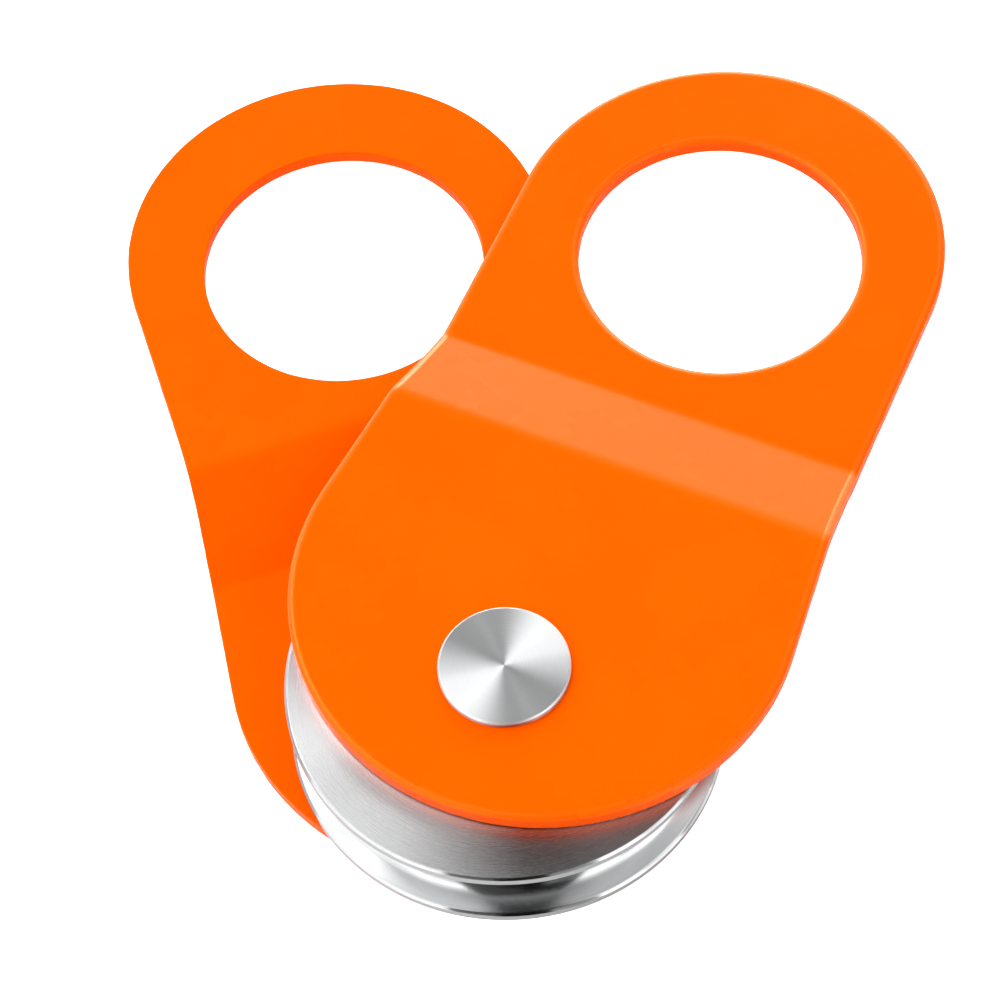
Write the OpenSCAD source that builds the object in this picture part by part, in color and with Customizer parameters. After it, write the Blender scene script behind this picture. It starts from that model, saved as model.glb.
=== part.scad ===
// Swing-plate snatch block: a grooved steel sheave on a headed pin, between two joggled side plates.
// +Z runs along the pin towards its head, the origin is the centre of the sheave,
// and +Y points from the pin to the eye of the back side plate.

/* [Side plates] */
// Thickness of each side plate
plate_t = 4; // [3:0.5:6]
// Distance from the pin's axis to the centre of the eye
eye_distance = 122; // [112:1:140]
// Radius of the eye that takes the shackle
eye_r = 32.3; // [20:0.1:34]
// Gap between the two eye ends
eye_gap = 2.5; // [1:0.1:6]
// Radius of the two bends of the joggle, on the middle of the sheet
bend_r = 7; // [4:0.5:9]
// Angle between the two side plates as the block is opened
spread_angle = 41.7; // [0:0.1:90]

/* [Front side plate] */
// Radius of the front plate's rounded end around the eye
front_eye_end_r = 49.7; // [46:0.1:56]
// Distance from the pin's axis to the centre of that arc
front_eye_end_distance = 126.3; // [118:0.1:144]
// Radius of the front plate's wide rounded end around the pin
front_wide_end_r = 54.5; // [52:0.1:62]
// Distance from the pin's axis to the centre of that arc
front_wide_end_distance = 21; // [12:0.1:24]
// Distance from the pin's axis at which the straight taper of its sides ends
front_taper_end = 70; // [64:0.1:78]
// Distance from the pin's axis at which the front plate starts to bend inwards
front_joggle_start = 54.8; // [52:0.1:60]
// Distance from the pin's axis at which the front plate runs flat again
front_joggle_end = 77.6; // [74:0.1:86]

/* [Back side plate] */
// Radius of the back plate's rounded end around the eye
back_eye_end_r = 48.9; // [46:0.1:56]
// Distance from the pin's axis to the centre of that arc
back_eye_end_distance = 126.7; // [118:0.1:144]
// Radius of the back plate's wide rounded end around the pin
back_wide_end_r = 54.8; // [52:0.1:62]
// Distance from the pin's axis to the centre of that arc
back_wide_end_distance = 20.4; // [12:0.1:24]
// Distance from the pin's axis at which the straight taper of its sides ends
back_taper_end = 75.5; // [64:0.1:78]
// Distance from the pin's axis at which the back plate starts to bend inwards
back_joggle_start = 53.2; // [52:0.1:60]
// Distance from the pin's axis at which the back plate runs flat again
back_joggle_end = 79.3; // [74:0.1:86]

/* [Sheave] */
// Outside radius of the sheave
sheave_r = 46.45; // [40:0.05:48]
// Width of the sheave over its two side faces
sheave_w = 19.8; // [16:0.1:24]
// Chamfer on the edges of the rims
rim_chamfer = 0.5; // [0.2:0.1:1]
// Width of the flat land on each rim
rim_land = 1.7; // [1:0.1:2.5]
// Radius of the bottom of the rope groove
groove_root_r = 6.5; // [6:0.1:6.7]
// Slope of the groove's walls
groove_slope = 17.5; // [14:0.5:20]
// Gap between the side of the sheave and each side plate
side_gap = 0.4; // [0.2:0.1:1]
// Radius of the recess in each side of the sheave for the thrust washer
recess_r = 19.5; // [16:0.5:24]
// Depth of that recess
recess_depth = 1.2; // [0.8:0.1:2]

/* [Pin] */
// Radius of the pin's shank
pin_r = 10; // [8:0.5:12]
// Radius of the pin's flat head
head_r = 14; // [12.5:0.5:18]
// Thickness of the pin's flat head
head_h = 1.45; // [1.2:0.05:4]
// Chamfer on the rim of the head
head_chamfer = 0.3; // [0.1:0.05:0.6]
// Radial running clearance between the pin and what turns on it
running_clearance = 0.06; // [0.03:0.01:0.1]
// End clearance between faces that turn on each other
end_clearance = 0.05; // [0.03:0.01:0.1]

/* [Bush and washers] */
// Outside radius of the sheave's bush
bush_r = 13; // [12:0.5:15]
// Radius of the thrust washers
thrust_r = 19; // [15.5:0.5:23]
// Radius of the retaining washer behind the back plate
washer_r = 17; // [14:0.5:20]
// Thickness of the retaining washer
washer_t = 2; // [1:0.1:3]

/* [Retaining ring] */
// Thickness of the retaining ring
ring_t = 1.2; // [1:0.1:1.5]
// Depth of the groove in the pin that the ring snaps into
ring_groove_depth = 0.5; // [0.4:0.05:0.8]

/* [Grease nipple] */
// Radius of the flat flange of the nipple
nipple_r = 5; // [4:0.1:6]
// Thickness of that flange
nipple_h = 1; // [0.8:0.1:1.4]

/* [Hidden] */
$fn = 128;

orange = [1, 0.42, 0];
steel = [0.78, 0.79, 0.8];
bronze = [0.72, 0.53, 0.28];
dark_steel = [0.25, 0.25, 0.27];
zinc = [0.66, 0.67, 0.69];

half_w = sheave_w / 2;
plate_in = half_w + side_gap;          // inner face of a plate's wide end
plate_out = plate_in + plate_t;        // its outer face
eye_in = eye_gap / 2;                  // inner face of a plate's eye end
drop = plate_in - eye_in;              // depth of the joggle
bore_r = pin_r + running_clearance;

// Heights on the pin, from its head to its tail
head_under = plate_out + end_clearance;
head_top = head_under + head_h;
washer_top = -plate_out - end_clearance;
ring_top = washer_top - washer_t - end_clearance;
groove_top = ring_top + 0.02;
groove_bottom = ring_top - ring_t - 0.05;
pin_end = groove_bottom - 2;

// A plate's sizes: the radius and distance of its eye end, the same of its wide end, the end of its taper,
// and the start and end of its joggle
front_shape = [front_eye_end_r, front_eye_end_distance, front_wide_end_r, front_wide_end_distance, front_taper_end,
               front_joggle_start, front_joggle_end];
back_shape = [back_eye_end_r, back_eye_end_distance, back_wide_end_r, back_wide_end_distance, back_taper_end,
              back_joggle_start, back_joggle_end];

// A plate's outline seen along the pin, its eye towards +Y
module plate_outline(shape) {
    eye_end_r = shape[0];
    eye_end_distance = shape[1];
    wide_end_r = shape[2];
    wide_end_distance = shape[3];
    taper_end = shape[4];
    taper = atan((wide_end_r - eye_end_r) / (taper_end - wide_end_distance));
    taper_w = wide_end_r / cos(taper) - (taper_end - wide_end_distance) * tan(taper);

    translate([0, wide_end_distance]) circle(r = wide_end_r);
    translate([0, eye_end_distance]) circle(r = eye_end_r);
    polygon([
        [wide_end_r * cos(taper), wide_end_distance + wide_end_r * sin(taper)],
        [taper_w, taper_end],
        [eye_end_r, taper_end + 6],
        [eye_end_r, eye_end_distance],
        [-eye_end_r, eye_end_distance],
        [-eye_end_r, taper_end + 6],
        [-taper_w, taper_end],
        [-wide_end_r * cos(taper), wide_end_distance + wide_end_r * sin(taper)]
    ]);
}

// The sheet's section along its length: flat, bent inwards, and flat again.
// A bend of radius r through a slope takes r * tan(slope / 2) on each side of its corner.
bend_steps = 6;

// Points of a bend from the angle a0 to a1, round the centre [x, y], for the face that lies at the radius r
function bend_up(x, y, r, a0, a1) = [for (i = [0:bend_steps])
    let (a = a0 + (a1 - a0) * i / bend_steps) [x + r * sin(a), y + r * cos(a)]];

mid_top = plate_in + plate_t / 2;
mid_eye = eye_in + plate_t / 2;

// One face of the sheet, o above its middle: c1 is the first bend's centre, under the sheet, and c2 the second's, over it
function face(o, slope, c1, c2) = concat(
    [[-60, mid_top + o]],
    bend_up(c1[0], c1[1], bend_r + o, 0, slope),
    bend_up(c2[0], c2[1], -(bend_r - o), slope, 0),
    [[eye_distance + 90, mid_eye + o]]);

function reversed(p) = [for (i = [len(p) - 1:-1:0]) p[i]];

module sheet_section(shape) {
    slope = atan(drop / (shape[6] - shape[5]));
    cut = bend_r * tan(slope / 2);
    c1 = [shape[5] - cut, mid_top - bend_r];
    c2 = [shape[6] + cut, mid_eye + bend_r];
    polygon(concat(face(plate_t / 2, slope, c1, c2), reversed(face(-plate_t / 2, slope, c1, c2))));
}

// One side plate, on the +Z side of the sheave, its eye towards +Y
module side_plate(shape) {
    difference() {
        intersection() {
            linear_extrude(height = plate_out + 2) plate_outline(shape);
            // the section's length becomes Y and its height becomes Z
            translate([-80, 0, 0]) rotate([90, 0, 90]) linear_extrude(height = 160) sheet_section(shape);
        }
        translate([0, 0, -5]) cylinder(r = bore_r, h = plate_out + 10);
        translate([0, eye_distance, -5]) cylinder(r = eye_r, h = plate_out + 10);
    }
}

module back_side_plate() {
    color(orange) mirror([0, 0, 1]) side_plate(back_shape);
}

module front_side_plate() {
    color(orange) rotate([0, 0, -spread_angle]) side_plate(front_shape);
}

// Section of the rope groove's bottom, an arc between the two sloping walls
land_top = half_w - rim_chamfer;
land_bottom = land_top - rim_land;
groove_half = land_bottom - rim_chamfer;
groove_edge_r = sheave_r - rim_chamfer;
root_centre = groove_edge_r - (groove_half - groove_root_r / cos(groove_slope)) / tan(groove_slope);
root_steps = 20;
groove_root = [for (i = [0:root_steps])
    let (a = 90 + groove_slope + (180 - 2 * groove_slope) * i / root_steps)
    [root_centre + groove_root_r * cos(a), groove_root_r * sin(a)]];

module sheave() {
    color(steel) rotate_extrude() polygon(concat(
        [[bush_r, -half_w + recess_depth], [recess_r, -half_w + recess_depth], [recess_r, -half_w],
         [sheave_r - rim_chamfer, -half_w], [sheave_r, -land_top], [sheave_r, -land_bottom],
         [groove_edge_r, -groove_half]],
        reversed(groove_root),
        [[groove_edge_r, groove_half], [sheave_r, land_bottom], [sheave_r, land_top],
         [sheave_r - rim_chamfer, half_w], [recess_r, half_w], [recess_r, half_w - recess_depth],
         [bush_r, half_w - recess_depth]]));
}

bush_half = half_w - recess_depth;

// A plain bush with a grease groove round the middle of its bore
module sheave_bush() {
    color(bronze) rotate_extrude() polygon([
        [bore_r, -bush_half + 0.4], [bore_r + 0.4, -bush_half], [bush_r, -bush_half], [bush_r, bush_half],
        [bore_r + 0.4, bush_half], [bore_r, bush_half - 0.4], [bore_r, 1.5], [bore_r + 0.8, 1],
        [bore_r + 0.8, -1], [bore_r, -1.5]]);
}

module thrust_washer() {
    difference() {
        translate([0, 0, bush_half + end_clearance])
            cylinder(r = thrust_r, h = plate_in - bush_half - 2 * end_clearance);
        cylinder(r = pin_r + 0.3, h = plate_out);
    }
}

module front_thrust_washer() {
    color(bronze) thrust_washer();
}

module back_thrust_washer() {
    color(bronze) mirror([0, 0, 1]) thrust_washer();
}

// The nipple's shank and the grease passage it feeds
shank_r = 3;
shank_l = 7;
passage_r = 1.5;

module axle_pin() {
    color(steel) difference() {
        rotate_extrude() polygon([
            [0, pin_end], [pin_r - 1, pin_end], [pin_r, pin_end + 1], [pin_r, groove_bottom],
            [pin_r - ring_groove_depth, groove_bottom], [pin_r - ring_groove_depth, groove_top],
            [pin_r, groove_top], [pin_r, head_under], [head_r, head_under],
            [head_r, head_top - head_chamfer], [head_r - head_chamfer, head_top], [0, head_top]]);
        translate([0, 0, pin_end - 1]) cylinder(r = shank_r, h = shank_l + 1.5);
        translate([0, 0, pin_end]) cylinder(r = passage_r, h = -pin_end + passage_r);
        rotate([0, 90, 0]) cylinder(r = passage_r - 0.25, h = pin_r + 5);
    }
}

module retaining_washer() {
    color(zinc) translate([0, 0, washer_top - washer_t]) difference() {
        cylinder(r = washer_r, h = washer_t);
        translate([0, 0, -1]) cylinder(r = pin_r + 0.25, h = washer_t + 2);
    }
}

// A snap ring, widest opposite its gap, with an eyelet for the pliers at each end
module retaining_ring() {
    groove_r = pin_r - ring_groove_depth;
    color(dark_steel) translate([0, 0, ring_top - ring_t]) linear_extrude(height = ring_t) difference() {
        union() {
            translate([0, 0.5]) circle(r = pin_r + 1.9);
            for (side = [-1, 1]) rotate(side * 13) translate([0, -pin_r - 1.6]) circle(r = 2.1);
        }
        circle(r = groove_r + 0.05);
        polygon([[0, 0], [-2.2, -pin_r - 6], [2.2, -pin_r - 6]]);
        for (side = [-1, 1]) rotate(side * 16) translate([0, -pin_r - 1.9]) circle(r = 0.9);
    }
}

// A flush nipple: a flange with a conical mouth, and a shank pressed into the pin
module grease_nipple() {
    color(zinc) rotate_extrude() polygon([
        [0.8, pin_end + shank_l], [0.8, pin_end + 3], [1.5, pin_end + 3], [1.5, pin_end + 0.6],
        [1.1, pin_end + 0.5], [2.6, pin_end - nipple_h],
        [nipple_r - 0.4, pin_end - nipple_h], [nipple_r, pin_end - nipple_h + 0.4], [nipple_r, pin_end - 0.01],
        [shank_r, pin_end - 0.01], [shank_r, pin_end + shank_l]]);
}

module nipple_ball() {
    color(steel) translate([0, 0, pin_end + 1.42]) sphere(r = 1.3);
}

back_side_plate();
axle_pin();
retaining_washer();
retaining_ring();
grease_nipple();
nipple_ball();
front_thrust_washer();
back_thrust_washer();
front_side_plate();
sheave();
sheave_bush();
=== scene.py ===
import math

import bpy
import numpy as np
from mathutils import Matrix, Vector, noise
from mathutils.geometry import delaunay_2d_cdt


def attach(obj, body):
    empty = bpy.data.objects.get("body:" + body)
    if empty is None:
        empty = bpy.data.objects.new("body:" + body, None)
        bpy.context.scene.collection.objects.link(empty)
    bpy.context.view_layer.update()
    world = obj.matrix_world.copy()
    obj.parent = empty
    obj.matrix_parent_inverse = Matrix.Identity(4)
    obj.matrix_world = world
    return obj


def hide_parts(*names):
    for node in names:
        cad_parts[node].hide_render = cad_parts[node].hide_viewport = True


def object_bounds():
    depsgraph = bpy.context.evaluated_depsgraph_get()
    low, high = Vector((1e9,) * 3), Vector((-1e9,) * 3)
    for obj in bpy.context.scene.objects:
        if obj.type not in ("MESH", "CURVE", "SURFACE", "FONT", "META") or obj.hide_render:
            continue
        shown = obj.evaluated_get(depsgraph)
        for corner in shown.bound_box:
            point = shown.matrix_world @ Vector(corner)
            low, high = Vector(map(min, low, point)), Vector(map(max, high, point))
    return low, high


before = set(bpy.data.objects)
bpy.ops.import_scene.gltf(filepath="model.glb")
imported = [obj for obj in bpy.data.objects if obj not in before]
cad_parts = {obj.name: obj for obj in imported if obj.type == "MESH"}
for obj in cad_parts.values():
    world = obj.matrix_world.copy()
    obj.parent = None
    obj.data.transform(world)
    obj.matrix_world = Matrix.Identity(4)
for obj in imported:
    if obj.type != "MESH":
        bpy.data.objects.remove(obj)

cad_low, cad_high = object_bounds()

# Sizes in millimetres, the same as in part.scad. The row frame has +Z along the pin towards its head.
PLATE_T = 4.0
EYE_Y, EYE_R = 122.0, 32.3
# a plate's eye end and wide end (radius and distance of each arc), the end of its taper, and its joggle's start and end
FRONT_SHAPE = (49.7, 126.3, 54.5, 21.0, 70.0, 54.8, 77.6)
BACK_SHAPE = (48.9, 126.7, 54.8, 20.4, 75.5, 53.2, 79.3)
SPREAD = 41.7
BEND_R = 7.0
SHEAVE_R, SHEAVE_HALF = 46.45, 9.9
PLATE_IN, PLATE_OUT, EYE_IN = 10.3, 14.3, 1.25
PIN_R, BORE_R, HEAD_R, HEAD_LOW, HEAD_TOP = 10.0, 10.06, 14.0, 14.35, 15.8
WASHER_TOP, WASHER_T, WASHER_R = -14.35, 2.0, 17.0
GROOVE_TOP, GROOVE_LOW, PIN_END = -16.42, -17.65, -19.65
FLOOR_Z = cad_low.z

THETA0 = -14.39      # how far the row frame is turned from the light rig's, in degrees


# ---------------------------------------------------------------- mesh helpers

def make_object(name, verts, faces, smooth=True):
    mesh = bpy.data.meshes.new(name)
    mesh.from_pydata([tuple(v) for v in verts], [], [tuple(f) for f in faces])
    mesh.validate()
    mesh.update()
    if smooth:
        mesh.polygons.foreach_set("use_smooth", [True] * len(mesh.polygons))
    obj = bpy.data.objects.new(name, mesh)
    bpy.context.scene.collection.objects.link(obj)
    return obj


def rounded(corners, seg=4, closed=True, support=0.3):
    """A polyline of (r, z) with each corner (r, z, fillet) rounded, and a support point near each end of a long straight."""
    n = len(corners)
    pts = []
    for i, (x, y, f) in enumerate(corners):
        p = np.array([x, y], float)
        if f <= 0 or (not closed and i in (0, n - 1)):
            pts.append([tuple(p)])
            continue
        a = np.array(corners[i - 1][:2], float) - p
        b = np.array(corners[(i + 1) % n][:2], float) - p
        la, lb = np.linalg.norm(a), np.linalg.norm(b)
        a, b = a / la, b / lb
        ang = math.acos(max(-1, min(1, float(a @ b))))
        if ang > math.radians(178):
            pts.append([tuple(p)])
            continue
        t = min(f / math.tan(ang / 2), 0.45 * la, 0.45 * lb)
        r = t * math.tan(ang / 2)
        mid = (a + b) / np.linalg.norm(a + b)
        c = p + mid * (r / math.sin(ang / 2))
        s, e = p + a * t - c, p + b * t - c
        sweep = math.pi - ang
        k = max(2, int(round(seg * sweep / (math.pi / 2))) + 1)
        side = 1 if s[0] * e[1] - s[1] * e[0] > 0 else -1
        arc = []
        for j in range(k + 1):
            w = side * sweep * j / k
            arc.append((c[0] + s[0] * math.cos(w) - s[1] * math.sin(w), c[1] + s[0] * math.sin(w) + s[1] * math.cos(w)))
        pts.append(arc)
    out = []
    m = len(pts)
    for i in range(m):
        out += pts[i]
        if not closed and i == m - 1:
            break
        p, q = np.array(pts[i][-1]), np.array(pts[(i + 1) % m][0])
        length = np.linalg.norm(q - p)
        if length > 4 * support:
            out.append(tuple(p + (q - p) * support / length))
            out.append(tuple(q + (p - q) * support / length))
        elif length > 0.12:
            out.append(tuple(p + (q - p) * 0.25))
            out.append(tuple(q + (p - q) * 0.25))
    clean = [out[0]]
    for p in out[1:]:
        if math.dist(p, clean[-1]) > 1e-4:
            clean.append(p)
    if closed and math.dist(clean[0], clean[-1]) < 1e-4:
        clean.pop()
    return clean


def lathe(name, profile, segments, closed=True):
    """Turns a profile of (r, z) in millimetres round the Z axis. An open profile starts and ends on the axis."""
    verts, faces, rings = [], [], []
    for r, z in profile:
        if r < 1e-6:
            rings.append([len(verts)] * segments)
            verts.append((0, 0, z / 1000))
        else:
            rings.append(list(range(len(verts), len(verts) + segments)))
            for k in range(segments):
                a = 2 * math.pi * k / segments
                verts.append((r * math.cos(a) / 1000, r * math.sin(a) / 1000, z / 1000))
    pairs = list(zip(rings, rings[1:])) + ([(rings[-1], rings[0])] if closed else [])
    for a, b in pairs:
        for k in range(segments):
            j = (k + 1) % segments
            if a[k] == a[j]:
                faces.append((a[k], b[k], b[j]))
            elif b[k] == b[j]:
                faces.append((a[k], b[k], a[j]))
            else:
                faces.append((a[k], b[k], b[j], a[j]))
    # the profile runs anticlockwise in (r, z), so the normals point outwards
    faces = [tuple(reversed(f)) for f in faces]
    return make_object(name, verts, faces)


# ---------------------------------------------------------------- the camera

cam_data = bpy.data.cameras.new("camera")
cam_data.lens = 118.573
cam_data.sensor_width = 36
cam_data.clip_start = 0.01
cam_data.clip_end = 20
camera = bpy.data.objects.new("camera", cam_data)
bpy.context.scene.collection.objects.link(camera)
right = Vector((0.99722888, -0.06321534, -0.03922221))
up = Vector((0.07439463, 0.84737515, 0.52575735))
ahead = Vector((0.0, 0.52721833, -0.84972986))
# the rig's frame has its origin on the top of the pin's head and a unit of 14 mm
place = -(right * 0.06094602 + up * -2.44856046 + ahead * 48.94310946)
turn = Matrix.Rotation(math.radians(THETA0), 3, "Z")
axes = Matrix((right, up, -ahead)).transposed()
camera.matrix_world = Matrix.Translation((turn @ place) * 0.014 + Vector((0, 0, HEAD_TOP / 1000))) @ (turn @ axes).to_4x4()
bpy.context.scene.camera = camera

# ---------------------------------------------------------------- the side plates

DROP = PLATE_IN - EYE_IN
MID_TOP, MID_EYE = PLATE_IN + PLATE_T / 2, EYE_IN + PLATE_T / 2


def joggle(shape):
    """The joggle's slope, and the centres of its two bends as (y, z)."""
    slope = math.atan(DROP / (shape[6] - shape[5]))
    cut = BEND_R * math.tan(slope / 2)
    return slope, (shape[5] - cut, MID_TOP - BEND_R), (shape[6] + cut, MID_EYE + BEND_R)


def sheet_z(y, o, bends):
    """Height of the face that lies o above the middle of the sheet, at a distance y from the pin."""
    slope, c1, c2 = bends
    ra, rb = BEND_R + o, BEND_R - o
    if y <= c1[0]:
        return MID_TOP + o
    if y <= c1[0] + ra * math.sin(slope):
        return c1[1] + math.sqrt(ra * ra - (y - c1[0]) ** 2)
    if y < c2[0] - rb * math.sin(slope):
        return c1[1] + ra * math.cos(slope) - (y - c1[0] - ra * math.sin(slope)) * math.tan(slope)
    if y < c2[0]:
        return c2[1] - math.sqrt(rb * rb - (c2[0] - y) ** 2)
    return MID_EYE + o


def outline(shape):
    """The plate's edge, anticlockwise from the middle of its wide end, as (x, y, nx, ny)."""
    eye_end_r, eye_end_y, wide_r, wide_y, taper_end = shape[:5]
    t = math.atan((wide_r - eye_end_r) / (taper_end - wide_y))
    taper_w = wide_r / math.cos(t) - (taper_end - wide_y) * math.tan(t)
    meet = taper_end + (taper_w - eye_end_r) / math.tan(t)
    blend_r = 250.0
    y_end = meet + blend_r * math.tan(t / 2)
    half = []
    n = 130
    for i in range(n + 1):
        a = -math.pi / 2 + (math.pi / 2 + t) * i / n
        half.append((wide_r * math.cos(a), wide_y + wide_r * math.sin(a), math.cos(a), math.sin(a)))
    xa, ya = half[-1][:2]
    xb, yb = eye_end_r + blend_r - blend_r * math.cos(t), y_end - blend_r * math.sin(t)
    n = 60
    for i in range(1, n):
        half.append((xa + (xb - xa) * i / n, ya + (yb - ya) * i / n, math.cos(t), math.sin(t)))
    n = 44
    for i in range(n + 1):
        a = t * (1 - i / n)
        half.append((eye_end_r + blend_r - blend_r * math.cos(a), y_end - blend_r * math.sin(a), math.cos(a), math.sin(a)))
    n = 46
    for i in range(1, n):
        half.append((eye_end_r, y_end + (eye_end_y - y_end) * i / n, 1.0, 0.0))
    n = 96
    for i in range(n + 1):
        a = math.pi / 2 * i / n
        half.append((eye_end_r * math.cos(a), eye_end_y + eye_end_r * math.sin(a), math.cos(a), math.sin(a)))
    half[0] = (0.0, half[0][1], 0.0, -1.0)
    half[-1] = (0.0, half[-1][1], 0.0, 1.0)
    return half + [(-x, y, -nx, ny) for x, y, nx, ny in reversed(half[1:-1])]


def circle(cx, cy, r, n):
    """A hole's edge, its normals pointing into the hole."""
    return [(cx + r * math.cos(a), cy + r * math.sin(a), -math.cos(a), -math.sin(a))
            for a in (2 * math.pi * k / n for k in range(n))]


# (distance in from the edge, depth below the face) from the face to the wall.
# The punch side rolls over, the die side keeps a small radius under the paint.
ROLLED = [(3.2, 0), (2.5, 0), (2.0, 0), (1.7, 0.002), (1.5, 0.006), (1.32, 0.014), (1.18, 0.031), (1.05, 0.055), (0.92, 0.086),
          (0.8, 0.122), (0.68, 0.163), (0.57, 0.211), (0.47, 0.263), (0.37, 0.322), (0.29, 0.384), (0.21, 0.452), (0.147, 0.522),
          (0.095, 0.595), (0.055, 0.67), (0.025, 0.745), (0.006, 0.82), (0.0, 0.9)]
SHARP = [(3.2, 0), (1.6, 0), (0.9, 0), (0.5, 0), (0.36, 0.002), (0.26, 0.014), (0.175, 0.047), (0.103, 0.103), (0.047, 0.175),
         (0.012, 0.26), (0.0, 0.35)]
WALL = [1.2, 1.55, 1.9, 2.25, 2.6, 2.95, 3.3]


def side_plate(name, back):
    """One plate on the +Z side of the sheave with its eye towards +Y, its outside rolled over."""
    verts, faces, rim = [], [], []
    seed = 37.0 if back else 11.0
    shape = BACK_SHAPE if back else FRONT_SHAPE
    bends = joggle(shape)
    _, c1, c2 = bends

    def ring_of(edge, is_hole):
        """Rings from the outer face over the edge to the inner face, as lists of indices."""
        rings = []
        steps = [(d, h, +1) for d, h in ROLLED] + [(0.0, h, 0) for h in WALL] + [(d, h, -1) for d, h in reversed(SHARP)]
        for d, h, side in steps:
            ring = []
            for x, y, nx, ny in edge:
                # the sheared wall is a little uneven
                deep = h if side >= 0 else PLATE_T - h
                along = Vector((x * 0.16, y * 0.16, seed))
                rough = 0.0
                if d < 0.3:
                    w = 1 - d / 0.3
                    rough = w * (0.05 + 0.05 * noise.noise(along * 1.7 + Vector((0, 0, deep * 0.5)))
                                 + 0.035 * noise.noise(Vector((x * 0.7, y * 0.7, seed + deep * 0.8))))
                    if side == 0:
                        rough += 0.03 * noise.noise(Vector((x * 1.5, y * 1.5, seed + 5 + deep * 0.35)))
                    rough = max(0.0, rough)
                px, py = x - nx * (d + rough), y - ny * (d + rough)
                top, low = sheet_z(py, PLATE_T / 2, bends), sheet_z(py, -PLATE_T / 2, bends)
                if side > 0:
                    z = top - h
                elif side < 0:
                    z = low + h
                else:
                    z = top + (low - top) * h / PLATE_T
                ring.append(len(verts))
                verts.append((px, py, z))
            rings.append(ring)
        for (d, h, side), a, b in zip(steps[1:], rings, rings[1:]):
            n = len(a)
            for k in range(n):
                j = (k + 1) % n
                if side > 0 and d < 1.55:
                    rim.append(len(faces))
                faces.append((a[k], b[k], b[j], a[j]) if not is_hole else (a[j], b[j], b[k], a[k]))
        return rings

    edge = outline(shape)
    outer = ring_of(edge, False)
    eye = ring_of(circle(0, EYE_Y, EYE_R, 288), True)
    hole = ring_of(circle(0, 0, BORE_R, 128), True)

    n = len(edge)
    mirror_of = {i: (n - i) % n for i in range(n)}
    for which, o in ((0, PLATE_T / 2), (-1, -PLATE_T / 2)):
        loops = [outer[which], eye[which], hole[which]]
        holes = [set(eye[which]), set(hole[which])]
        ids = [i for loop in loops for i in loop]
        where = {v: k for k, v in enumerate(ids)}
        co = [Vector(verts[i][:2]) for i in ids]
        edges = []
        for loop in loops:
            edges += [(where[loop[k]], where[loop[(k + 1) % len(loop)]]) for k in range(len(loop))]
        # a line across the plate at each step through the joggle, cut into short lengths
        for i in range(n // 2):
            a, b = outer[which][i], outer[which][mirror_of[i]]
            y = verts[a][1]
            if i == 0 or not (c1[0] - 1.2 < y < c2[0] + 1.2):
                continue
            xa, xb = verts[b][0], verts[a][0]
            line = [where[b]]
            for k in range(1, 12):
                line.append(len(co))
                co.append(Vector((xa + (xb - xa) * k / 12, y)))
            line.append(where[a])
            edges += list(zip(line, line[1:]))
        out_co, _, out_faces, orig_v, _, _ = delaunay_2d_cdt(co, edges, [], 1, 1e-5)
        index = []
        for k, p in enumerate(out_co):
            src = [v for v in orig_v[k] if v < len(ids)]
            if src:
                index.append(ids[src[0]])
            else:
                index.append(len(verts))
                verts.append((p[0], p[1], sheet_z(p[1], o, bends)))
        for f in out_faces:
            tri = [index[v] for v in f]
            if any(set(tri) <= loop for loop in holes):
                continue
            (x0, y0, _), (x1, y1, _), (x2, y2, _) = (verts[v] for v in tri[:3])
            ccw = (x1 - x0) * (y2 - y0) - (x2 - x0) * (y1 - y0) > 0
            if ccw != (which == 0):
                tri.reverse()
            faces.append(tuple(tri))

    if back:
        verts = [(x / 1000, y / 1000, -z / 1000) for x, y, z in verts]
        faces = [tuple(reversed(f)) for f in faces]
    else:
        a = math.radians(-SPREAD)
        verts = [((x * math.cos(a) - y * math.sin(a)) / 1000, (x * math.sin(a) + y * math.cos(a)) / 1000, z / 1000)
                 for x, y, z in verts]
    return make_object(name, verts, faces), rim


front_plate, front_rim = side_plate("front_plate_painted", False)
back_plate, back_rim = side_plate("back_plate_painted", True)

# ---------------------------------------------------------------- the sheave

LAND_TOP = SHEAVE_HALF - 0.5
LAND_LOW = LAND_TOP - 1.7
GROOVE_HALF = LAND_LOW - 0.5
GROOVE_EDGE = SHEAVE_R - 0.5
ROOT_R, WALL_SLOPE = 6.5, math.radians(17.5)
ROOT_C = GROOVE_EDGE - (GROOVE_HALF - ROOT_R / math.cos(WALL_SLOPE)) / math.tan(WALL_SLOPE)
WALL_FOOT = (ROOT_C - ROOT_R * math.sin(WALL_SLOPE), ROOT_R * math.cos(WALL_SLOPE))


def sheave_profile():
    """Anticlockwise in (r, z), from the bush seat at the back."""
    f = 0.12
    low = [(13.0, -8.7, 0.2), (19.5, -8.7, 0.15), (19.5, -9.9, 0.15), (SHEAVE_R - 0.5, -9.9, f), (SHEAVE_R, -LAND_TOP, f),
           (SHEAVE_R, -LAND_LOW, f), (GROOVE_EDGE, -GROOVE_HALF, f), (WALL_FOOT[0], -WALL_FOOT[1], 0)]
    head = rounded(low + [(WALL_FOOT[0] - 0.01, -WALL_FOOT[1] + 0.05, 0)], closed=False)[:-1]
    start = math.pi / 2 + WALL_SLOPE
    sweep = math.pi - 2 * WALL_SLOPE
    root = []
    for i in range(1, 36):
        a = start + sweep * (1 - i / 36)
        root.append((ROOT_C + ROOT_R * math.cos(a), ROOT_R * math.sin(a)))
    return head + root + [(r, -z) for r, z in reversed(head)]


sheave = lathe("sheave_turned", sheave_profile(), 384)

# ---------------------------------------------------------------- the pin, its washer and its nipple

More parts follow.
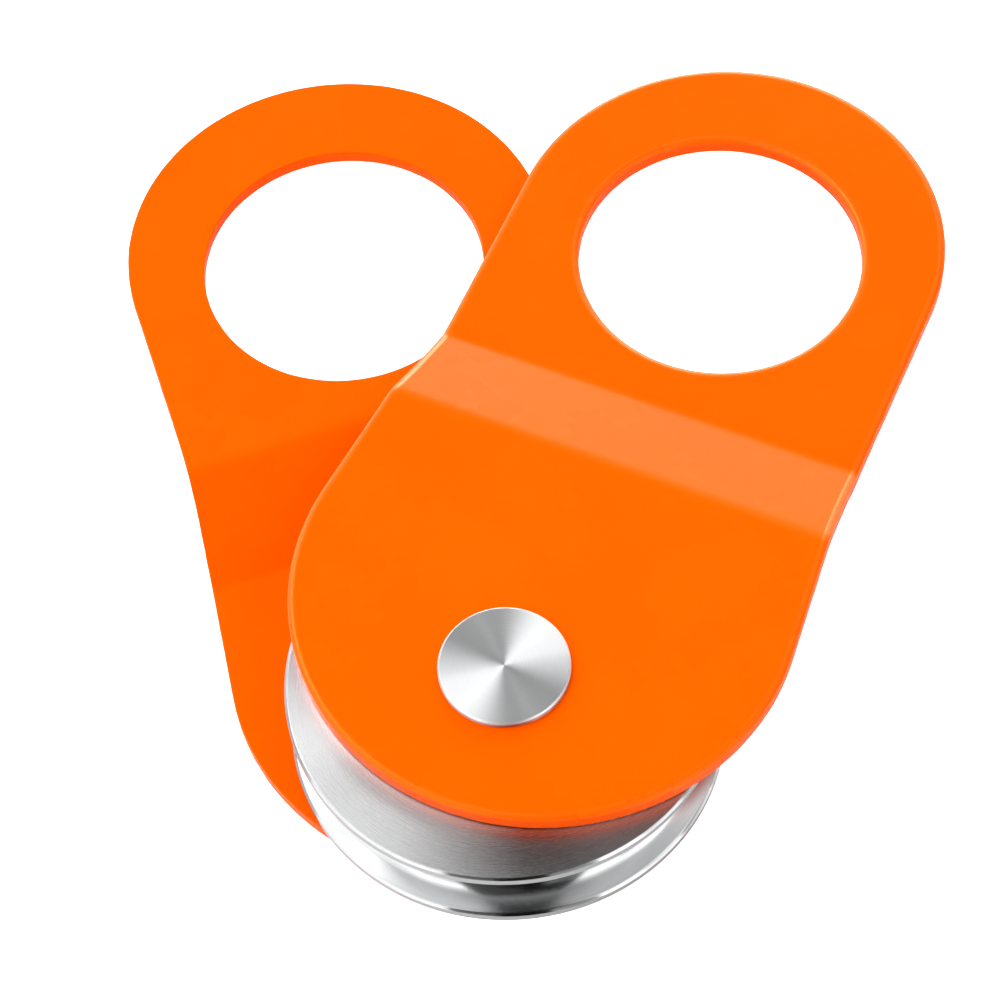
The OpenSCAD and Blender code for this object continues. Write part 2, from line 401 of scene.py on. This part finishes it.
pin_profile = rounded([
    (0, PIN_END + 7, 0), (3.0, PIN_END + 7, 0), (3.0, PIN_END + 0.01, 0.05), (PIN_R - 1, PIN_END, 0.15), (PIN_R, PIN_END + 1, 0.15),
    (PIN_R, GROOVE_LOW, 0.06), (PIN_R - 0.5, GROOVE_LOW, 0.04), (PIN_R - 0.5, GROOVE_TOP, 0.04), (PIN_R, GROOVE_TOP, 0.06),
    (PIN_R, HEAD_LOW, 0.1), (HEAD_R, HEAD_LOW, 0.12), (HEAD_R, HEAD_TOP - 0.36, 0.12), (HEAD_R - 0.36, HEAD_TOP, 0.1),
    (0.35, HEAD_TOP, 0), (0.2, HEAD_TOP - 0.03, 0), (0, HEAD_TOP - 0.05, 0)], closed=False)
pin = lathe("pin_turned", pin_profile, 256, closed=False)

washer = lathe("washer_pressed", rounded([
    (PIN_R + 0.25, WASHER_TOP - WASHER_T, 0.2), (WASHER_R, WASHER_TOP - WASHER_T, 0.35), (WASHER_R, WASHER_TOP, 0.15),
    (PIN_R + 0.25, WASHER_TOP, 0.15)]), 192)

nipple = lathe("nipple_turned", rounded([
    (0.8, PIN_END + 7, 0.05), (0.8, PIN_END + 3, 0.05), (1.5, PIN_END + 3, 0.05), (1.5, PIN_END + 0.6, 0.05), (1.1, PIN_END + 0.5, 0.05),
    (2.6, PIN_END - 1, 0.1), (4.6, PIN_END - 1, 0.12), (5.0, PIN_END - 0.6, 0.12), (5.0, PIN_END - 0.01, 0.03),
    (3.0, PIN_END - 0.01, 0.03), (3.0, PIN_END + 7, 0.2)]), 96)

# ---------------------------------------------------------------- materials

def new_material(name):
    mat = bpy.data.materials.new(name)
    mat.use_nodes = True
    nt = mat.node_tree
    nt.nodes.clear()
    out = nt.nodes.new("ShaderNodeOutputMaterial")
    bsdf = nt.nodes.new("ShaderNodeBsdfPrincipled")
    nt.links.new(bsdf.outputs["BSDF"], out.inputs["Surface"])
    return mat, nt, bsdf


def noise_tex(nt, vector, scale, detail=2.0, rough=0.5):
    n = nt.nodes.new("ShaderNodeTexNoise")
    n.inputs["Scale"].default_value = scale
    n.inputs["Detail"].default_value = detail
    n.inputs["Roughness"].default_value = rough
    nt.links.new(vector, n.inputs["Vector"])
    return n.outputs["Fac"]


def ramp(nt, value, stops, between="LINEAR"):
    r = nt.nodes.new("ShaderNodeValToRGB")
    r.color_ramp.interpolation = between
    while len(r.color_ramp.elements) < len(stops):
        r.color_ramp.elements.new(0.5)
    for e, (at, colour) in zip(r.color_ramp.elements, stops):
        e.position = at
        e.color = (*colour, 1) if len(colour) == 3 else colour
    nt.links.new(value, r.inputs["Fac"])
    return r.outputs["Color"]


def maths(nt, op, a, b=None, clamp=False):
    m = nt.nodes.new("ShaderNodeMath")
    m.operation = op
    m.use_clamp = clamp
    for k, v in enumerate((a, b)):
        if v is None:
            continue
        if isinstance(v, (int, float)):
            m.inputs[k].default_value = v
        else:
            nt.links.new(v, m.inputs[k])
    return m.outputs[0]


def map_range(nt, value, a, b, c, d):
    m = nt.nodes.new("ShaderNodeMapRange")
    for k, v in zip(("From Min", "From Max", "To Min", "To Max"), (a, b, c, d)):
        m.inputs[k].default_value = v
    nt.links.new(value, m.inputs["Value"])
    return m.outputs["Result"]


def bump(nt, height, distance, normal=None):
    b = nt.nodes.new("ShaderNodeBump")
    b.inputs["Strength"].default_value = 1.0
    b.inputs["Distance"].default_value = distance
    nt.links.new(height, b.inputs["Height"])
    if normal is not None:
        nt.links.new(normal, b.inputs["Normal"])
    return b.outputs["Normal"]


def coords(nt):
    return nt.nodes.new("ShaderNodeTexCoord").outputs["Object"]


def radius_of(nt, vector):
    """(distance from the Z axis, height) of a point, in metres."""
    sep = nt.nodes.new("ShaderNodeSeparateXYZ")
    nt.links.new(vector, sep.inputs[0])
    x2 = maths(nt, "MULTIPLY", sep.outputs["X"], sep.outputs["X"])
    y2 = maths(nt, "MULTIPLY", sep.outputs["Y"], sep.outputs["Y"])
    return maths(nt, "SQRT", maths(nt, "ADD", x2, y2)), sep.outputs["Z"]


def powder_coat(name, gloss, tint):
    mat, nt, bsdf = new_material(name)
    co = coords(nt)
    peel = noise_tex(nt, co, 900, 1.5, 0.5)
    fine = noise_tex(nt, co, 3200, 1.0, 0.5)
    cloud = noise_tex(nt, co, 45, 3.0, 0.6)
    specks = noise_tex(nt, co, 2400, 0.0, 0.5)
    n = bump(nt, peel, 0.000022)
    n = bump(nt, fine, 0.000004, n)
    nt.links.new(n, bsdf.inputs["Normal"])
    base = ramp(nt, cloud, [(0.3, (0.95, 0.092, 0.0)), (0.7, (1.0, 0.098, 0.0))])
    dark = ramp(nt, specks, [(0.0, (0.93, 0.93, 0.93)), (0.30, (1, 1, 1))])
    mix = nt.nodes.new("ShaderNodeMix")
    mix.data_type = "RGBA"
    mix.blend_type = "MULTIPLY"
    mix.inputs[0].default_value = 1.0
    nt.links.new(base, mix.inputs[6])
    nt.links.new(dark, mix.inputs[7])
    nt.links.new(mix.outputs[2], bsdf.inputs["Base Color"])
    nt.links.new(map_range(nt, cloud, 0.3, 0.7, 0.24, 0.30), bsdf.inputs["Roughness"])
    bsdf.inputs["IOR"].default_value = 1.5
    bsdf.inputs["Specular IOR Level"].default_value = gloss
    bsdf.inputs["Specular Tint"].default_value = (*tint, 1)
    return mat


def turned(name, colour, rough, aniso, pitch, depth, spin=0.0, blotch=0.06):
    """Metal turned on a lathe: the cut runs round the Z axis."""
    mat, nt, bsdf = new_material(name)
    co = coords(nt)
    r, z = radius_of(nt, co)
    # one coordinate across the cut, whichever way the surface faces
    across = maths(nt, "ADD", maths(nt, "MULTIPLY", r, 1.0), maths(nt, "MULTIPLY", z, 0.93))
    comb = nt.nodes.new("ShaderNodeCombineXYZ")
    nt.links.new(across, comb.inputs[0])
    lines = noise_tex(nt, comb.outputs[0], 1.0 / pitch, 3.0, 0.65)
    wide = noise_tex(nt, comb.outputs[0], 0.22 / pitch, 2.0, 0.5)
    cloud = noise_tex(nt, co, 60, 3.0, 0.55)
    height = maths(nt, "ADD", maths(nt, "MULTIPLY", lines, 0.6), maths(nt, "MULTIPLY", wide, 0.6))
    nt.links.new(bump(nt, height, depth), bsdf.inputs["Normal"])
    tone = maths(nt, "ADD", maths(nt, "MULTIPLY", lines, 0.7), maths(nt, "MULTIPLY", cloud, 0.3))
    c = colour
    nt.links.new(ramp(nt, tone, [(0.3, tuple(v * (1 - blotch) for v in c)), (0.7, c)]), bsdf.inputs["Base Color"])
    nt.links.new(map_range(nt, tone, 0.3, 0.7, rough * 1.1, rough * 0.9), bsdf.inputs["Roughness"])
    bsdf.inputs["Metallic"].default_value = 1.0
    bsdf.inputs["Anisotropic"].default_value = aniso
    bsdf.inputs["Anisotropic Rotation"].default_value = spin
    tangent = nt.nodes.new("ShaderNodeTangent")
    tangent.direction_type = "RADIAL"
    tangent.axis = "Z"
    nt.links.new(tangent.outputs[0], bsdf.inputs["Tangent"])
    return mat


def plated(name, colour, rough, grain, depth, blotch=0.12):
    mat, nt, bsdf = new_material(name)
    co = coords(nt)
    small = noise_tex(nt, co, grain, 3.0, 0.6)
    cloud = noise_tex(nt, co, grain / 14, 3.0, 0.6)
    nt.links.new(bump(nt, small, depth), bsdf.inputs["Normal"])
    nt.links.new(ramp(nt, cloud, [(0.3, tuple(v * (1 - blotch) for v in colour)), (0.7, colour)]), bsdf.inputs["Base Color"])
    nt.links.new(map_range(nt, cloud, 0.3, 0.7, rough * 1.15, rough * 0.9), bsdf.inputs["Roughness"])
    bsdf.inputs["Metallic"].default_value = 1.0
    return mat


ORANGE = powder_coat("powder_coat_orange", 0.05, (1.0, 0.95, 0.0))
# the coat flows out smoother and glossier over the rolled edges
RIM = powder_coat("powder_coat_rim", 0.36, (1.0, 0.95, 0.15))
FACE_STEEL = turned("turned_steel_face", (0.50, 0.505, 0.51), 0.27, 0.95, 0.00034, 0.0000012, 0.25, 0.16)
GROOVE_STEEL = turned("turned_steel_groove", (0.50, 0.505, 0.51), 0.17, 0.88, 0.00034, 0.0000006, 0.25, 0.16)
PIN_STEEL = turned("pin_steel_turned", (0.52, 0.525, 0.53), 0.38, 0.97, 0.00034, 0.0000008, 0.25, 0.12)
# the head's chamfer: rougher, isotropic steel, with a lighter colour than the pin's that is a painted highlight for the
# bright ring round the head's edge
CHAMFER_STEEL_AND_PAINTED_HIGHLIGHT = plated("pin_steel_chamfer", (0.62, 0.625, 0.63), 0.42, 2600, 0.000002, 0.08)
BRONZE = turned("bronze_turned", (0.62, 0.40, 0.20), 0.28, 0.4, 0.0002, 0.000003, 0.25)
ZINC = plated("zinc_plated", (0.72, 0.73, 0.76), 0.26, 900, 0.000006)
RING_STEEL = plated("spring_steel_phosphated", (0.10, 0.10, 0.105), 0.42, 2200, 0.000006, 0.25)

for obj, mat, node, body, slot in (
        (front_plate, ORANGE, "front_side_plate", "front_plate", "powder_coat"),
        (back_plate, ORANGE, "back_side_plate", "back_plate_and_pin", "powder_coat"),
        (sheave, FACE_STEEL, "sheave", "sheave", "turned_steel"),
        (pin, PIN_STEEL, "axle_pin", "back_plate_and_pin", "pin_steel"),
        (washer, ZINC, "retaining_washer", "back_plate_and_pin", "zinc_plate"),
        (nipple, ZINC, "grease_nipple", "back_plate_and_pin", "zinc_plate")):
    obj.data.materials.append(mat)
    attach(obj, body)
    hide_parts(node)

for plate, rim in ((front_plate, front_rim), (back_plate, back_rim)):
    plate.data.materials.append(RIM)
    for k in rim:
        plate.data.polygons[k].material_index = 1
# the faces of the head's chamfer take the lighter steel, a painted highlight ring round the head
pin.data.materials.append(CHAMFER_STEEL_AND_PAINTED_HIGHLIGHT)
for p in pin.data.polygons:
    c = p.center
    if math.hypot(c.x, c.y) > (HEAD_R - 0.4) / 1000 and c.z > (HEAD_TOP - 0.4) / 1000:
        p.material_index = 1
sheave.data.materials.append(GROOVE_STEEL)
for p in sheave.data.polygons:
    c = p.center
    if math.hypot(c.x, c.y) > (SHEAVE_R - 0.49) / 1000 or abs(c.z) < (LAND_TOP + 0.1) / 1000 and math.hypot(c.x, c.y) > 0.02:
        p.material_index = 1

for node, mat in (("nipple_ball", PIN_STEEL), ("sheave_bush", BRONZE), ("front_thrust_washer", BRONZE),
                  ("back_thrust_washer", BRONZE), ("retaining_ring", RING_STEEL)):
    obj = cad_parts[node]
    for s in obj.material_slots:
        s.material = mat
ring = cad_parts["retaining_ring"]
weld = ring.modifiers.new("weld", "WELD")
weld.merge_threshold = 1e-6
bevel = ring.modifiers.new("bevel", "BEVEL")
bevel.width = 0.00012
bevel.segments = 3
bevel.limit_method = "ANGLE"
bevel.angle_limit = math.radians(40)

# ---------------------------------------------------------------- the floor

floor = make_object("floor", [(-6, -6, FLOOR_Z), (6, -6, FLOOR_Z), (6, 6, FLOOR_Z), (-6, 6, FLOOR_Z)], [(0, 1, 2, 3)], smooth=False)
fmat, fnt, fbsdf = new_material("floor_white")
fbsdf.inputs["Base Color"].default_value = (0.88, 0.88, 0.88, 1)
fbsdf.inputs["Roughness"].default_value = 0.6
fbsdf.inputs["Specular IOR Level"].default_value = 0.0
# the paper is lit from behind, so it stays white behind the object
glow = fnt.nodes.new("ShaderNodeEmission")
glow.inputs["Strength"].default_value = 0.00
bright = fnt.nodes.new("ShaderNodeEmission")
bright.inputs["Strength"].default_value = 0.85
seen = fnt.nodes.new("ShaderNodeLightPath").outputs["Is Camera Ray"]
which = fnt.nodes.new("ShaderNodeMixShader")
fnt.links.new(seen, which.inputs[0])
fnt.links.new(glow.outputs[0], which.inputs[1])
fnt.links.new(bright.outputs[0], which.inputs[2])
both = fnt.nodes.new("ShaderNodeAddShader")
fnt.links.new(fbsdf.outputs[0], both.inputs[0])
fnt.links.new(which.outputs[0], both.inputs[1])
fnt.links.new(both.outputs[0], next(n for n in fnt.nodes if n.type == "OUTPUT_MATERIAL").inputs["Surface"])
floor.data.materials.append(fmat)

# ---------------------------------------------------------------- the light: a tent of soft panels, far away
# Each row is a ring of panels of equal width, from this elevation in degrees up to the next row's, with their strengths,
# going round from azimuth 0 in the rig's frame.

PANELS = [
    (0, [2.3, 2.8, 4.6, 9.1, 12.1, 6.1, 4.6, 0.1, 0.4, 2.5, 4, 5.3, 1.2, 0, 0, 4.3, 4.2, 4.3]),
    (8, [0.8, 1.2, 3.3, 8.5, 13.9, 5, 5.7, 1.7, 2, 2.7, 2.8, 4.9, 2.7, 0, 0, 4.9, 3, 1.1]),
    (16, [0, 0, 2.8, 7.6, 10, 2, 5, 1.5, 1.8, 2, 2.3, 2.4, 0, 0, 1.3, 3.2, 2.5, 0]),
    (25, [0, 0, 1.9, 5.3, 1.1, 1.2, 4.6, 1.4, 2.5, 4, 2.7, 2.1, 0, 0, 0.1, 2.4, 0, 0]),
    (35, [0, 0, 0.7, 7.2, 0, 1.4, 5, 1.5, 2.1, 4.2, 2.8, 1.4, 0.1, 0, 0.4, 2.7, 0.4, 0]),
    (47, [2, 1.2, 0.8, 0, 11.3, 2.4, 2.5, 3.6, 0.1, 0, 3.3, 4]),
    (62, [0, 0, 4.2, 1.5, 0, 1.1]),
]


def build_world(panels):
    world = bpy.data.worlds.new("studio")
    bpy.context.scene.world = world
    world.use_nodes = True
    nt = world.node_tree
    nt.nodes.clear()
    co = nt.nodes.new("ShaderNodeTexCoord").outputs["Generated"]
    sep = nt.nodes.new("ShaderNodeSeparateXYZ")
    nt.links.new(co, sep.inputs[0])
    elev = maths(nt, "ARCSINE", sep.outputs["Z"])
    az = maths(nt, "ARCTAN2", sep.outputs["Y"], sep.outputs["X"])
    share = maths(nt, "FRACT", maths(nt, "ADD", maths(nt, "MULTIPLY", az, 1 / (2 * math.pi)), 1 - THETA0 / 360))
    total = None
    for low, strengths in panels:
        n = len(strengths)
        value = ramp(nt, share, [(k / n, (v / 20,) * 3) for k, v in enumerate(strengths)], "CONSTANT")
        if total is None:
            total = value
            continue
        m = nt.nodes.new("ShaderNodeMapRange")
        m.interpolation_type = "SMOOTHSTEP"
        m.inputs["From Min"].default_value = math.radians(low - 0.8)
        m.inputs["From Max"].default_value = math.radians(low + 0.8)
        nt.links.new(elev, m.inputs["Value"])
        mix = nt.nodes.new("ShaderNodeMix")
        nt.links.new(m.outputs["Result"], mix.inputs[0])
        nt.links.new(total, mix.inputs[2])
        nt.links.new(value, mix.inputs[3])
        total = mix.outputs[0]
    lit = nt.nodes.new("ShaderNodeBackground")
    nt.links.new(maths(nt, "MULTIPLY", total, 20.0), lit.inputs["Strength"])
    plain = nt.nodes.new("ShaderNodeBackground")
    plain.inputs["Strength"].default_value = 1.0
    plain.inputs["Color"].default_value = (1, 1, 1, 1)
    camera_ray = nt.nodes.new("ShaderNodeLightPath").outputs["Is Camera Ray"]
    mix = nt.nodes.new("ShaderNodeMixShader")
    nt.links.new(camera_ray, mix.inputs[0])
    nt.links.new(lit.outputs[0], mix.inputs[1])
    nt.links.new(plain.outputs[0], mix.inputs[2])
    out = nt.nodes.new("ShaderNodeOutputWorld")
    nt.links.new(mix.outputs[0], out.inputs["Surface"])
    world.cycles.sampling_method = "MANUAL"
    world.cycles.sample_map_resolution = 512


build_world(PANELS)

scene = bpy.context.scene
scene.view_settings.view_transform = "Standard"
scene.view_settings.look = "None"
scene.view_settings.exposure = 0.0
scene.view_settings.gamma = 1.0
